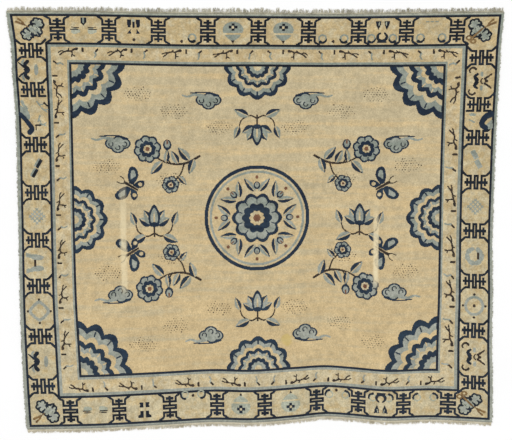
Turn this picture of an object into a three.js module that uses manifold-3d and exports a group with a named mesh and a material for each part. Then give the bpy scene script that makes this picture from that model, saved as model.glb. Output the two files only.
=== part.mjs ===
// Knotted wool pile rug, lying flat: one thick pile sheet, and an end web with warp fringe at each end.
// Millimetres, +Z up, the floor at Z = 0. The fringed ends face +Y (top) and -Y (bottom).
import * as THREE from "three";
import { mergeVertices } from "three/addons/utils/BufferGeometryUtils.js";
import Module from "manifold-3d";

const wasm = await Module();
wasm.setup();

// Driving dimensions of the knotted sheet
const WIDTH = 2670; // mean, selvedge to selvedge
const LENGTH = 2288; // mean, without the end webs and the fringe
const THICKNESS = 9; // foundation and pile together

// Driving dimensions of the end webs and the fringe
const SEAM_GAP = 0.3; // between the knotted sheet and the web beside it
const WEB_WIDTH = 9;
const WEB_THICKNESS = 3;
const LOCK_ROOT_THICKNESS = 2.6;
const LOCK_COUNT = 144; // at each end
const LOCK_ROOT_WIDTH = 13;
const LOCK_TIP_WIDTH = 7;
const LOCK_TIP_THICKNESS = 1.6;
const LOCK_BEND = 0.55; // share of the lock's reach where it bends sideways
const LOCK_BEND_LEAN = 0.3; // share of the tip's lean that the lock has at the bend
const LOCK_BEND_SIZE = 0.9; // width and thickness at the bend, as a share of those at the root
const LOCK_TOP_WIDTH = 0.8; // of the lock's upper face, as a share of its lower one
const LOCK_ROOT_DEPTH = 5; // of the lock inside the web
const LOCK_END_MARGIN = 10; // from the corner of the web to the middle of the first lock

// How finely the outline's curves are stepped
const SIDE_STEPS = 48;
const END_STEPS = 64;
const WELD = 1e-4; // points closer than this are one

// The hand-knotted sheet narrows from top to bottom and its edges wander. Each row says how far the edges
// stand outside their straight line, or inside it where the number is negative, in millimetres.
// along is the share of the length from the top end.
const SIDE_ROWS = [
  { along: 0.0, left: 66, right: 55 },
  { along: 0.08, left: 38, right: 36 },
  { along: 0.15, left: 30, right: 27 },
  { along: 0.26, left: 10, right: 11 },
  { along: 0.4, left: 1, right: -2 },
  { along: 0.55, left: -7, right: -13 },
  { along: 0.7, left: -14, right: -12 },
  { along: 0.8, left: -23, right: -16 },
  { along: 0.9, left: -35, right: -12 },
  { along: 1.0, left: -51, right: -14 },
];
// across is the share of the width from the left side.
const END_ROWS = [
  { across: 0.0, top: 9, bottom: 43 },
  { across: 0.15, top: 8, bottom: 35 },
  { across: 0.3, top: 0, bottom: 15 },
  { across: 0.4, top: -2, bottom: 1 },
  { across: 0.49, top: -3, bottom: 4 },
  { across: 0.58, top: -5, bottom: -13 },
  { across: 0.645, top: -6, bottom: -31 },
  { across: 0.7, top: -5, bottom: -24 },
  { across: 0.78, top: -2, bottom: -7 },
  { across: 0.88, top: 2, bottom: -13 },
  { across: 1.0, top: 7, bottom: 3 },
];
// The reach of the fringe beyond its web, which wears short in places.
const FRINGE_ROWS = [
  { across: 0.0, top: 15, bottom: 12 },
  { across: 0.2, top: 17, bottom: 14 },
  { across: 0.42, top: 20, bottom: 15 },
  { across: 0.6, top: 18, bottom: 14 },
  { across: 0.8, top: 16, bottom: 15 },
  { across: 1.0, top: 15, bottom: 13 },
];
const LOCK_REACH_SPREAD = 4; // how much longer or shorter one lock is than its neighbours, at most
const LOCK_SWAY = 5; // how far a lock's tip leans to one side, at most
// Steps and factor of the unevenness, chosen so that neighbouring locks come out unlike
const REACH_TURN = 12.9898;
const SWAY_TURN = 78.233;
const SCRAMBLE = 43758.5453;

const wool = new THREE.MeshStandardMaterial({ color: 0xc2b08b, roughness: 0.95, metalness: 0 });
const warpCotton = new THREE.MeshStandardMaterial({ color: 0xcfc8b0, roughness: 0.95, metalness: 0 });

// The value of one column at a place between the rows, on a smooth curve through them.
function smoothBetween(rows, place, column, at) {
  const last = rows.length - 2;
  const found = rows.findIndex((row) => row[place] > at);
  const i = found < 0 ? last : Math.min(Math.max(found - 1, 0), last);
  const [before, low, high, after] = [i - 1, i, i + 1, i + 2].map(
    (k) => rows[Math.min(Math.max(k, 0), rows.length - 1)],
  );
  const span = high[place] - low[place];
  const lean = (a, b) => (b[place] > a[place] ? ((b[column] - a[column]) / (b[place] - a[place])) * span : 0);
  const t = (at - low[place]) / span;
  const rise = high[column] - low[column];
  const start = lean(before, high);
  const end = lean(low, after);
  return low[column] + t * (start + t * (3 * rise - 2 * start - end + t * (start + end - 2 * rise)));
}

const sideOut = (side, along) => smoothBetween(SIDE_ROWS, "along", side, along);
const endOut = (end, across) => smoothBetween(END_ROWS, "across", end, across);

// Where a point of the straight weaving plan lies on the real sheet.
function onRug(across, along) {
  const x = (across - 0.5) * WIDTH;
  const y = (0.5 - along) * LENGTH;
  const dx = THREE.MathUtils.lerp(-sideOut("left", along), sideOut("right", along), across);
  const dy = THREE.MathUtils.lerp(endOut("top", across), -endOut("bottom", across), along);
  return new THREE.Vector2(x + dx, y + dy);
}

// A line of points between two shares, both included.
function stepped(steps, from, to, point) {
  return Array.from({ length: steps + 1 }, (_, i) => point(THREE.MathUtils.lerp(from, to, i / steps)));
}

function prism(outline, height) {
  return new THREE.ExtrudeGeometry(new THREE.Shape(outline), { depth: height, bevelEnabled: false });
}

function solid(geometry) {
  const bare = geometry.clone();
  bare.deleteAttribute("normal");
  bare.deleteAttribute("uv");
  const merged = mergeVertices(bare, WELD);
  return new wasm.Manifold(
    new wasm.Mesh({
      numProp: 3,
      vertProperties: new Float32Array(merged.attributes.position.array),
      triVerts: new Uint32Array(merged.index.array),
    }),
  );
}

function geometryOf(manifold) {
  const made = manifold.getMesh();
  const geometry = new THREE.BufferGeometry();
  geometry.setAttribute("position", new THREE.BufferAttribute(made.vertProperties, 3));
  geometry.setIndex(new THREE.BufferAttribute(made.triVerts, 1));
  geometry.computeVertexNormals();
  return geometry;
}

// The knotted sheet, round its four edges from the lower left corner.
function rugBody() {
  const outline = [
    ...stepped(END_STEPS, 0, 1, (across) => onRug(across, 1)).slice(0, -1),
    ...stepped(SIDE_STEPS, 1, 0, (along) => onRug(1, along)).slice(0, -1),
    ...stepped(END_STEPS, 1, 0, (across) => onRug(across, 0)).slice(0, -1),
    ...stepped(SIDE_STEPS, 0, 1, (along) => onRug(0, along)).slice(0, -1),
  ];
  const mesh = new THREE.Mesh(prism(outline, THICKNESS), wool);
  mesh.name = "rug_body";
  return mesh;
}

// The two ends of the sheet. outward is the direction in Y in which the fringe leaves it.
const ENDS = {
  top: { along: 0, outward: 1 },
  bottom: { along: 1, outward: -1 },
};

// A point beside an end's edge, at a distance out from it.
function besideEnd(end, across, out) {
  const { along, outward } = ENDS[end];
  return onRug(across, along).add(new THREE.Vector2(0, outward * out));
}

function endWeb(end) {
  const inner = stepped(END_STEPS, 0, 1, (across) => besideEnd(end, across, SEAM_GAP));
  const outer = stepped(END_STEPS, 1, 0, (across) => besideEnd(end, across, SEAM_GAP + WEB_WIDTH));
  return prism([...inner, ...outer], WEB_THICKNESS);
}

// A closed solid through a row of cross-sections, each a ring of as many points, the first and last capped.
function loft(sections) {
  const ring = sections[0].length;
  const last = ring * (sections.length - 1);
  const faces = [];
  for (let from = 0; from < last; from += ring) {
    for (let side = 0; side < ring; side += 1) {
      const [a, b] = [from + side, from + ((side + 1) % ring)];
      faces.push(a, a + ring, b + ring, a, b + ring, b);
    }
  }
  for (let side = 1; side < ring - 1; side += 1) {
    faces.push(0, side, side + 1, last, last + side + 1, last + side);
  }
  const geometry = new THREE.BufferGeometry().setFromPoints(sections.flat());
  geometry.setIndex(faces);
  return geometry;
}

// A repeatable unevenness from -1 to 1 for the lock with this number.
function unevenness(number, turn) {
  const scrambled = SCRAMBLE * Math.sin(number * turn);
  return 2 * (scrambled - Math.floor(scrambled)) - 1;
}

// A flat lock of warp ends with four sides: a row of cross-sections, each level on the floor.
function fringeLock(end, number) {
  const { outward } = ENDS[end];
  const margin = LOCK_END_MARGIN / WIDTH;
  const across = THREE.MathUtils.lerp(margin, 1 - margin, number / (LOCK_COUNT - 1));
  const spread = LOCK_REACH_SPREAD * unevenness(number + 1, REACH_TURN);
  const reach = smoothBetween(FRINGE_ROWS, "across", end, across) + spread;
  const sway = LOCK_SWAY * unevenness(number + 1, SWAY_TURN);
  const root = besideEnd(end, across, SEAM_GAP + WEB_WIDTH);
  const section = (out, lean, width, height) => {
    const half = (-outward * width) / 2;
    const corner = (side, z) => new THREE.Vector3(root.x + lean + side, root.y + outward * out, z);
    const top = half * LOCK_TOP_WIDTH;
    return [corner(half, 0), corner(-half, 0), corner(-top, height), corner(top, height)];
  };
  const bendWidth = LOCK_ROOT_WIDTH * LOCK_BEND_SIZE;
  const bendThickness = LOCK_ROOT_THICKNESS * LOCK_BEND_SIZE;
  return loft([
    section(-LOCK_ROOT_DEPTH, 0, LOCK_ROOT_WIDTH, LOCK_ROOT_THICKNESS),
    section(reach * LOCK_BEND, sway * LOCK_BEND_LEAN, bendWidth, bendThickness),
    section(reach, sway, LOCK_TIP_WIDTH, LOCK_TIP_THICKNESS),
  ]);
}

// An end web with its locks fused into it.
function fringe(end) {
  let fused = solid(endWeb(end));
  for (let number = 0; number < LOCK_COUNT; number += 1) {
    fused = fused.add(solid(fringeLock(end, number)));
  }
  const mesh = new THREE.Mesh(geometryOf(fused), warpCotton);
  mesh.name = `fringe_${end}`;
  return mesh;
}

// The sheet and its fringes, moved so that the middle of their box is over the origin.
const sheet = new THREE.Group();
sheet.add(rugBody(), fringe("top"), fringe("bottom"));
const middle = new THREE.Box3().setFromObject(sheet, true).getCenter(new THREE.Vector3());
sheet.position.set(-middle.x, -middle.y, 0);

const rug = new THREE.Group();
rug.add(sheet);

export default rug;
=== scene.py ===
"""A knotted wool pile rug with end webs and warp fringes, lying flat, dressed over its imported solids."""

import bpy
import numpy as np
from mathutils.geometry import delaunay_2d_cdt
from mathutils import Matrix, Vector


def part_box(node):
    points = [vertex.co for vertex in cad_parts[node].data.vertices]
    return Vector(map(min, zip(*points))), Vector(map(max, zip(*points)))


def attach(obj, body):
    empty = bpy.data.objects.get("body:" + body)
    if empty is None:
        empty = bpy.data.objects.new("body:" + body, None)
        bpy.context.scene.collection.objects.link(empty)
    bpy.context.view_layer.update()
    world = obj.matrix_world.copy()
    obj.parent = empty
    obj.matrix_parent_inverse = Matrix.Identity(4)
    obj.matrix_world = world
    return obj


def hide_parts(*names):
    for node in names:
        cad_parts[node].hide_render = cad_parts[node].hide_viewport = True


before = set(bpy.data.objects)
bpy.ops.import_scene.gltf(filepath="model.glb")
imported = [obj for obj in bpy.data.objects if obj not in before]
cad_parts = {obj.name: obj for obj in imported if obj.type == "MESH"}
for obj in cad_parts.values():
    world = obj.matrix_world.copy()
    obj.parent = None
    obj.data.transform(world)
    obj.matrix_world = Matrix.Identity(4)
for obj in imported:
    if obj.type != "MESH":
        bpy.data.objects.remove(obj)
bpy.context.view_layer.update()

# Sizes of the knotted sheet in metres, and its knots
WIDTH = 2.670
LENGTH = 2.288
THICKNESS = 0.009
KNOT = 0.0032
COLUMNS = round(WIDTH / KNOT)
ROWS = round(LENGTH / KNOT)

# How far the sides stand outside their straight line, and the field's frames outside theirs, in millimetres,
# by the share of the length from the top
SIDE_ROWS = {
    "along": (0.0, 0.08, 0.15, 0.26, 0.4, 0.55, 0.7, 0.8, 0.9, 1.0),
    "left": (66, 38, 30, 10, 1, -7, -14, -23, -35, -51),
    "field_left": (30, 24, 19, 13, 6, -1, -12, -27, -41, -53),
    "field_right": (35, 22, 16, 7, -2, -8, -14, -22, -27, -32),
    "right": (55, 36, 27, 11, -2, -13, -12, -16, -12, -14),
}
# The same for the two ends, by the share of the width from the left
END_ROWS = {
    "across": (0.0, 0.15, 0.3, 0.4, 0.49, 0.58, 0.645, 0.7, 0.78, 0.88, 1.0),
    "top": (9, 8, 0, -2, -3, -5, -6, -5, -2, 2, 7),
    "field_top": (12, 10, 2, -2, -1, -3, -4, -3, -3, 0, 4),
    "field_bottom": (40, 34, 16, 2, 5, -10, -20, -11, 6, 0, 16),
    "bottom": (43, 35, 15, 1, 4, -13, -31, -24, -7, -13, 3),
}

# Yarns: the two faded lots of each dye in sRGB, how much of the change between them runs in rows and not in
# patches, how much more of the second lot there is low down, and how mottled the yarn is
YARNS = {
    "beige": (((192, 177, 142), (203, 180, 136)), 0.75, 0.10, 0.20),
    "tan": (((195, 183, 150), (187, 166, 123)), 0.25, -0.05, 0.31),
    "cream": (((199, 186, 153), (189, 168, 126)), 0.25, -0.05, 0.31),
    "navy": (((18, 24, 33), (34, 43, 55)), 0.6, 0.06, 0.30),
    "blue": (((25, 38, 55), (40, 55, 70)), 0.6, 0.10, 0.30),
    "celadon": (((136, 143, 132), (156, 159, 148)), 0.5, 0.13, 0.30),
    "mist": (((158, 163, 147), (172, 174, 154)), 0.4, 0.0, 0.35),
    "rust": (((106, 72, 56), (124, 88, 66)), 0.4, 0.0, 0.30),
    "umber": (((40, 35, 34), (66, 55, 46)), 0.4, 0.0, 0.30),
    "bare": (((172, 168, 148), (194, 188, 166)), 0.2, 0.0, 0.45),
    "ribbon": (((104, 80, 52), (134, 108, 70)), 0.4, 0.0, 0.30),
}
YARN_NUMBER = {name: number for number, name in enumerate(YARNS)}

# The frames round the field from the outside in, in knots: (yarn, left, right, top, bottom)
FRAMES = (
    ("bare", 0, 0, 2, 1),
    ("celadon", 5, 4, 2, 3),
    ("navy", 4, 4, 4, 4),
    ("tan", 48, 47, 46, 45),
    ("navy", 4, 4, 4, 4),
    ("celadon", 5, 5, 4, 5),
    ("cream", 27, 24, 23, 23),
    ("celadon", 3, 3, 4, 4),
    ("navy", 4, 4, 4, 4),
)
SIDES = ("left", "right", "top", "bottom")
BORDER, GUARD = 3, 6
FULL_DEPTH = {BORDER: 46, GUARD: 24}  # the depth in knots for which a frame's motifs are drawn

# Middles of the border's frets, as shares of the side they stand on
FRETS = {
    "top": (0.095, 0.199, 0.300, 0.401, 0.504, 0.607, 0.709, 0.807, 0.910),
    "bottom": (0.093, 0.198, 0.308, 0.411, 0.515, 0.628, 0.719, 0.817, 0.912),
    "left": (0.096, 0.19, 0.321, 0.435, 0.548, 0.657, 0.777, 0.896),
    "right": (0.110, 0.224, 0.304, 0.413, 0.531, 0.653, 0.773, 0.901),
}
# Roots of the guard's twigs, and whether the twig leans back towards the start of its side or forward
TWIGS = {
    "top": {"back": (0.133, 0.234, 0.346, 0.451), "forward": (0.567, 0.672, 0.774, 0.876)},
    "bottom": {"back": (0.132, 0.238, 0.361, 0.462), "forward": (0.573, 0.664, 0.768, 0.865)},
    "left": {"back": (0.257, 0.360, 0.477, 0.591, 0.698, 0.808), "forward": (0.169,)},
    "right": {"back": (0.332, 0.470, 0.594, 0.703, 0.812), "forward": (0.171,)},
}


def rounded(points, steps=6):
    """A smooth open curve through the points."""
    points = np.asarray(points, float)
    before = np.vstack((2 * points[0] - points[1], points[:-2]))
    after = np.vstack((points[2:], 2 * points[-1] - points[-2]))
    t = np.linspace(0, 1, steps, endpoint=False)[:, None]
    pieces = []
    for back, low, high, on in zip(before, points[:-1], points[1:], after):
        square = 2 * back - 5 * low + 4 * high - on
        cube = 3 * (low - high) + on - back
        pieces.append(low + 0.5 * t * (high - back + t * (square + t * cube)))
    return np.vstack((*pieces, points[-1:]))


class Spot:
    """A place on the chart with axes of its own, in which a motif is drawn in knots."""

    def __init__(self, knots, origin, along, inward):
        self.knots = knots
        self.origin = np.array(origin, float)
        self.axes = np.array((along, inward), float)
        self.scale = np.hypot(*self.axes[0])

    def moved(self, u, v, turn=0, size=1.0, flip=1):
        """The spot moved, turned by degrees, scaled, and mirrored along u where flip is -1."""
        cos, sin = np.cos(np.radians(turn)), np.sin(np.radians(turn))
        turned = np.array(((cos, sin), (-sin, cos))) @ self.axes * size
        return Spot(self.knots, self.origin + np.array((u, v)) @ self.axes, turned[0] * flip, turned[1])

    def halves(self, axis=0):
        """The spot mirrored along one of its axes, and as it is."""
        way = np.ones((2, 1))
        way[axis] = -1
        return Spot(self.knots, self.origin, *(way * self.axes)), self

    def window(self, points, margin):
        """The knots around the points, and where the middles of those knots are."""
        limit = self.knots.shape[::-1]
        left, top = np.clip(np.floor(points.min(axis=0) - margin).astype(int), 0, limit)
        right, bottom = np.clip(np.ceil(points.max(axis=0) + margin).astype(int), 0, limit)
        y, x = np.mgrid[top:bottom, left:right] + 0.5
        return self.knots[top:bottom, left:right], x, y

    def fill(self, points, yarn):
        """Knots a closed shape."""
        points = self.origin + np.asarray(points, float) @ self.axes
        knots, x, y = self.window(points, 1)
        inside = np.zeros(knots.shape, bool)
        for (x0, y0), (x1, y1) in zip(points, np.roll(points, -1, axis=0)):
            if y0 != y1:
                left_of = x < x0 + (x1 - x0) * (y - y0) / (y1 - y0)
                inside ^= ((y0 > y) != (y1 > y)) & left_of
        knots[inside] = YARN_NUMBER[yarn]

    def line(self, points, yarn, width, tip=None):
        """Knots a brush line through the points, which narrows or swells from width to tip."""
        points = self.origin + rounded(points) @ self.axes
        tip = width if tip is None else tip
        halves = np.linspace(width, tip, len(points)) * self.scale / 2
        knots, x, y = self.window(points, halves.max() + 1)
        for (x0, y0), (x1, y1), half in zip(points[:-1], points[1:], halves):
            run = max((x1 - x0) ** 2 + (y1 - y0) ** 2, 1e-9)
            t = np.clip(((x - x0) * (x1 - x0) + (y - y0) * (y1 - y0)) / run, 0, 1)
            near = np.hypot(x - x0 - t * (x1 - x0), y - y0 - t * (y1 - y0)) < half
            knots[near] = YARN_NUMBER[yarn]

    def box(self, u0, v0, u1, v1, yarn):
        self.fill(((u0, v0), (u1, v0), (u1, v1), (u0, v1)), yarn)

    def oval(self, u, v, half_u, half_v, yarn, lobes=0, depth=0.0):
        """Knots an oval, with a lobed rim where lobes are asked for."""
        angle = np.linspace(0, 2 * np.pi, 16 * max(lobes, 3), endpoint=False)
        reach = 1 - depth * (1 - np.abs(np.cos(lobes * angle / 2)))
        rim = np.column_stack((half_u * reach * np.cos(angle), half_v * reach * np.sin(angle)))
        self.fill(rim + (u, v), yarn)

    def arc(self, u, v, radius, start, end, yarn, width, tip=None):
        """Knots an arc, its angles in degrees."""
        angle = np.radians(np.linspace(start, end, 9))
        points = np.column_stack((u + radius * np.cos(angle), v + radius * np.sin(angle)))
        self.line(points, yarn, width, tip)


def frame_insets(number):
    """How many knots the outer edge of a frame lies inside each edge of the sheet."""
    widths = np.array([row[1:] for row in FRAMES])
    return dict(zip(SIDES, widths[:number].sum(axis=0)))


def knots_inside(knots, number):
    """The part of a chart inside the outer edge of a frame, or the field after the last one."""
    inset = frame_insets(number)
    return knots[inset["top"] : ROWS - inset["bottom"], inset["left"] : COLUMNS - inset["right"]]


def knotted_frames():
    knots = np.zeros((ROWS, COLUMNS), np.int8)
    for number, (yarn, *_) in enumerate(FRAMES):
        knots_inside(knots, number)[:] = YARN_NUMBER[yarn]
    knots_inside(knots, len(FRAMES))[:] = YARN_NUMBER["beige"]
    return knots


def side_spot(knots, side, number, share):
    """A spot on a frame's outer edge. u runs along the side, and v into the rug by the frame's own depth."""
    inset = frame_insets(number)[side]
    depth = FRAMES[number][1 + SIDES.index(side)] / FULL_DEPTH[number]
    if side == "top":
        return Spot(knots, (share * COLUMNS, inset), (1, 0), (0, depth))
    if side == "bottom":
        return Spot(knots, (share * COLUMNS, ROWS - inset), (1, 0), (0, -depth))
    if side == "left":
        return Spot(knots, (inset, share * ROWS), (0, 1), (depth, 0))
    return Spot(knots, (COLUMNS - inset, share * ROWS), (0, 1), (-depth, 0))


# The border's frets, in knots
FRET_BAR = 4.0
FRET_HALF = 13.2  # from its middle to the ends of its bars
FRET_FLARE = 18.5  # from its middle to the tips of its brackets
FRET_BENDS = {"top": 6, "bottom": 6, "left": 9, "right": 9}  # how deep its brackets begin to flare
OPEN_FRET = 1  # the fret on each long side whose brackets don't flare into the cartouche after it


def bracket(end, bend, open_after):
    """One half of a fret. v runs in from the border's line, towards which it flares from the depth bend."""
    middle = FRET_HALF - FRET_BAR / 2
    flared = ((middle, bend), (middle + 1.2, bend * 0.62), (FRET_FLARE - 2, 1.6), (FRET_FLARE + 1, -1))
    upright = ((middle, bend), (middle, 3))
    end.box(-2.3, 2.6, 2.3, 19, "navy")
    end.box(-7, 5.6, 7, 9.8, "navy")
    end.box(-FRET_HALF, 11.6, FRET_HALF, 11.6 + FRET_BAR, "navy")
    end.box(-FRET_HALF, 18.2, FRET_HALF, 18.2 + FRET_BAR, "navy")
    for half, leg in zip(end.halves(), (flared, upright if open_after else flared)):
        half.box(FRET_HALF, bend - 1, FRET_HALF - FRET_BAR, 14, "navy")
        half.box(FRET_HALF, 18.2, FRET_HALF - FRET_BAR, 23, "navy")
        half.line(leg, "navy", FRET_BAR)


def fret(spot, bend, open_after):
    """A fret across the border: a cross in a bracket at each edge and a hollow bar between them.
    Its brackets round the corners of the cartouches beside it."""
    depth = FULL_DEPTH[BORDER]
    far = FRET_HALF if open_after else FRET_FLARE
    before = ((-FRET_FLARE, depth), (-FRET_HALF, depth - bend), (-FRET_HALF, bend), (-FRET_FLARE, 0))
    after = ((far, 0), (FRET_HALF, bend), (FRET_HALF, depth - bend), (far, depth))
    spot.fill((*before, *after), "cream")
    for edge, way in ((0, 1), (depth, -1)):
        end = Spot(spot.knots, spot.origin + edge * spot.axes[1], spot.axes[0], way * spot.axes[1])
        bracket(end, bend, open_after)


def bulb(spot, yarn):
    spot.oval(0, 20, 17.5, 14, yarn)
    spot.box(-18, 26, 18, 36, "tan")
    spot.fill(((-14, 29), (14, 29), (10.5, 34), (4, 38.5), (0, 40), (-4, 38.5), (-10.5, 34)), yarn)
    spot.fill(((-3, 39.5), (3, 39.5), (0, 45)), "umber")
    for u, v in ((-4.8, 15.5), (4.8, 15.5), (0, 11), (0, 20)):
        spot.box(u - 2.7, v - 2.4, u + 2.7, v + 2.4, "navy")
    spot.box(-2, 13.6, 2, 17.6, "cream")


def dot(spot, u, v):
    spot.oval(u, v, 2.7, 2.7, "umber")


def crescent(spot, u, v, face):
    """A pale ring whose lower outer part is dark. face is the side on which it is dark."""
    spot.arc(u, v, 6.3, 0, 360, "celadon", 3.0)
    spot.arc(u, v, 7, 90 - face * 80, 90 + face * 30, "navy", 2.4, 5.6)


def crescents(spot):
    for side in (-1, 1):
        crescent(spot, side * 18.5, 35, -side)


def commas(spot, inward):
    """Two dark commas round the outer part of faint rings, bent towards the field or away from it."""
    u, v = 14.5, 38 - 5 * inward
    for half in spot.halves():
        half.arc(u, v, 6, 0, 360, "mist", 2.2)
        half.arc(u, v, 7.5, -12 * inward, 90 * inward, "navy", 3.2, 4.2)


def eyes(spot):
    for side in (-1, 1):
        spot.oval(side * 14, 26, 8.5, 5.4, "mist", 3, 0.2)
        spot.line(((side * 8, 20), (side * 20, 19.4)), "umber", 1.9)
        spot.line(((side * 9, 23), (side * 22, 22.6)), "umber", 2.0)


def pennant(spot):
    spot.fill(((-5, 2), (5, 2), (5, 11), (0, 16.5), (-5, 11)), "navy")
    spot.fill(((-1.9, 2), (1.9, 2), (1.9, 10.5), (0, 12.5), (-1.9, 10.5)), "celadon")


def paired_bars(spot):
    for half in spot.halves():
        half.fill(((4, 4.5), (11.4, 4.5), (10.2, 18), (4.8, 18)), "navy")
        half.fill(((4, 29), (11.4, 29), (5.4, 21)), "navy")
    spot.line(((0, 5), (0, 8)), "mist", 3.4)
    spot.line(((0, 9.5), (0, 17)), "navy", 3.8)


def paired_boots(spot):
    for half in spot.halves():
        half.fill(((2.4, 18.5), (8.4, 18.5), (8.4, 12.5), (12, 10), (12, 6), (2.4, 6)), "navy")
        half.fill(((2, 33.5), (9, 33.5), (8.2, 29), (9, 24.5), (2, 24.5)), "navy")


def horned_pot(spot):
    """A pair of horns over a round pot with a foot."""
    for half in spot.halves():
        half.fill(((2.8, 5), (12.5, 4.5), (11, 12), (7, 20.5), (3.8, 13)), "navy")
        half.line(((5.6, 6.5), (6.4, 12)), "mist", 1.7)
    spot.oval(0, 33, 10.4, 9, "navy")
    spot.oval(0, 32, 5.4, 5, "tan")
    spot.box(-2.6, 22.5, 2.6, 28, "tan")
    spot.box(-8, 40, 8, 43, "navy")


def dashes(spot):
    for u in (-8, 0, 8):
        spot.line(((u - 2.4, 7), (u + 2.4, 7.4)), "celadon", 2.0)


def bat(spot):
    for half in spot.halves():
        half.line(((6, 13), (12, 8), (17, 10)), "celadon", 5, 3)
        half.line(((2, 15), (9, 12), (14, 16)), "navy", 5, 7)
        half.line(((5, 10), (12, 2)), "navy", 3.4, 2.2)
    spot.oval(0, 15, 6.5, 5, "navy")
    spot.oval(0, 30, 9.5, 4, "celadon", 2, 0.12)


def hooks(spot):
    for half in spot.halves():
        half.arc(18, 36, 5.4, -60, 120, "umber", 4.2, 2.6)
        half.line(((2, 29), (8, 32), (12, 28)), "navy", 7, 4)
        half.line(((4, 16), (8, 10), (12, 5)), "umber", 4, 2.6)
        half.oval(12, 21, 4.4, 2.8, "celadon")
    spot.oval(0, 13, 3, 3, "umber")
    spot.arc(0, 17, 5, 30, 150, "umber", 2.6)


def swoop(spot):
    spot.fill(rounded(((-20, -1), (-15, 8), (-8, 14), (3, 15), (3, 9), (-5, -1))), "celadon")
    spot.line(((-5, -1), (4, 7), (13, 14), (20, 18), (26, 14)), "blue", 7, 9.5)
    spot.line(((-26, 3), (-20, 6), (-14, 11)), "celadon", 5.5, 4)
    for u, v, turn in ((-22, 31, 35), (-12, 40, 50), (3, 30, -20), (13, 37, 70)):
        sprig = spot.moved(u, v, turn)
        sprig.line(((-5, 0), (5, 0)), "celadon", 3.2, 2)
        sprig.line(((0, 0), (4, 5)), "celadon", 2.6, 1.6)
    spot.line(((-24, 40), (-19, 45)), "navy", 3, 2.6)
    spot.line(((14, 24), (14, 33)), "umber", 2.4)
    spot.line(((14, 25), (21, 25)), "umber", 2.2)


def small_swoop(spot):
    spot.fill(rounded(((-2, 1), (6, 9), (12, 11), (13, -1), (-2, -1))), "celadon")
    spot.line(((-12, 2), (-8, 10), (0, 15.5), (7, 16), (12, 10)), "blue", 11, 9)
    spot.oval(-11, 33, 2.6, 6, "celadon")
    spot.line(((2, 30), (-2, 38)), "celadon", 3, 2)


def clappers(spot, yarn):
    for u, v in ((-9, 27), (7, 20)):
        clapper = spot.moved(u, v, -30)
        clapper.box(-8, -4.4, 8, 4.4, "celadon")
        clapper.box(-8, -1.2, 8, 4.4, yarn)


def endless_knot(spot):
    lattice = spot.moved(0, 23, 45)
    for step in (-1.5, -0.5, 0.5, 1.5):
        place = 5.4 * step
        lattice.line(((place, -10.5), (place, 10.5)), "celadon", 2.1)
        lattice.line(((-10.5, place), (10.5, place)), "celadon", 2.1)


def cloud_and_dash(spot):
    puff = ((18, 3), (15, 12), (14, 24), (11, 33), (5, 29), (5, 17), (9, 10), (10, 3))
    for half in spot.halves():
        half.fill(rounded(puff), "celadon")
    spot.box(-6, 16, 6, 20.5, "umber")


def cloud_ring(spot):
    for angle in range(-150, 170, 56):
        spot.arc(0, 23, 12.5, angle, angle + 38, "celadon", 9, 6)
    spot.box(-6, 14.5, 6, 18.5, "umber")


def compass_dots(spot):
    for u, v in ((-20, 23), (20, 23), (0, 4), (0, 42)):
        spot.oval(u, v, 2.1, 2.1, "umber")


def cornered_ring(spot):
    """A pale ring drawn out to four blunt corners."""
    for half, yarn in ((18.5, "celadon"), (12.5, "tan")):
        corner = half * 0.58
        rim = ((half, 0), (corner, corner), (0, half), (-corner, corner))
        spot.fill([(u, 23 + v) for u, v in rounded((*rim, *[(-u, -v) for u, v in rim], rim[0]))], yarn)


def dotted_ring(spot):
    spot.oval(0, 23, 17.5, 17, "celadon")
    spot.oval(0, 23, 12.5, 12, "tan")
    spot.oval(0, 23, 2.8, 2.8, "umber")


# The emblems between the frets, from the start of each side: what is drawn in each cartouche, and with what
EMBLEMS = {
    "top": (
        ((eyes,), (pennant,)), ((paired_bars,), (dot, 0, 39.5)),
        ((crescent, 15.5, 34.5, -1), (dot, -2.5, 41)), ((bulb, "celadon"),), ((bulb, "celadon"),),
        ((crescents,), (dot, 0, 40)), ((crescents,), (horned_pot,)), ((crescents,), (dashes,)),
    ),
    "bottom": (
        ((eyes,),), ((paired_boots,),), ((commas, -1), (dot, 0, 41)), ((bulb, "mist"),), ((bulb, "mist"),),
        ((commas, 1), (dot, -2, 41)), ((commas, 1), (horned_pot,)), ((commas, 1),),
    ),
    "left": (
        ((bat,),), ((swoop,),), ((clappers, "navy"),), ((endless_knot,),), ((cloud_and_dash,),),
        ((cornered_ring,), (compass_dots,)), ((bat,),),
    ),
    "right": (
        ((hooks,),), ((small_swoop,),), ((clappers, "celadon"),), ((endless_knot,),), ((cloud_ring,),),
        ((dotted_ring,), (compass_dots,)), ((hooks,),),
    ),
}
# The scalloped lobes of a corner's cloud: distances from the two outer edges and radius, in knots
CLOUD_LOBES = ((38, 13.5, 8.2), (20, 32, 8.2), (36.5, 27, 6.4), (28.5, 23, 6.2))
# The notches between them, each from its mouth to its end
CLOUD_NOTCHES = (
    ((29, 13), (34.5, 14)),
    ((46, 20), (40.5, 19.5)),
    ((40.5, 35), (37.5, 28.5)),
    ((29.5, 37), (26.5, 32)),
    ((20, 21.5), (24.5, 26.5)),
    ((12, 27), (17, 30)),
)
# How far the outline, the rim and the core of the cloud stand outside its lobes
CLOUD_LAYERS = ((3.2, "navy"), (0, "mist"), (-1.4, "celadon"))
LOBE_CORE, SCALLOP_PLACE, SCALLOP_SIZE = 0.7, 0.74, 0.34  # radii, as shares of a lobe's
TWIG_SIZES = {"top": 1.0, "bottom": 1.0, "left": 0.95, "right": 1.1}


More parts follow.
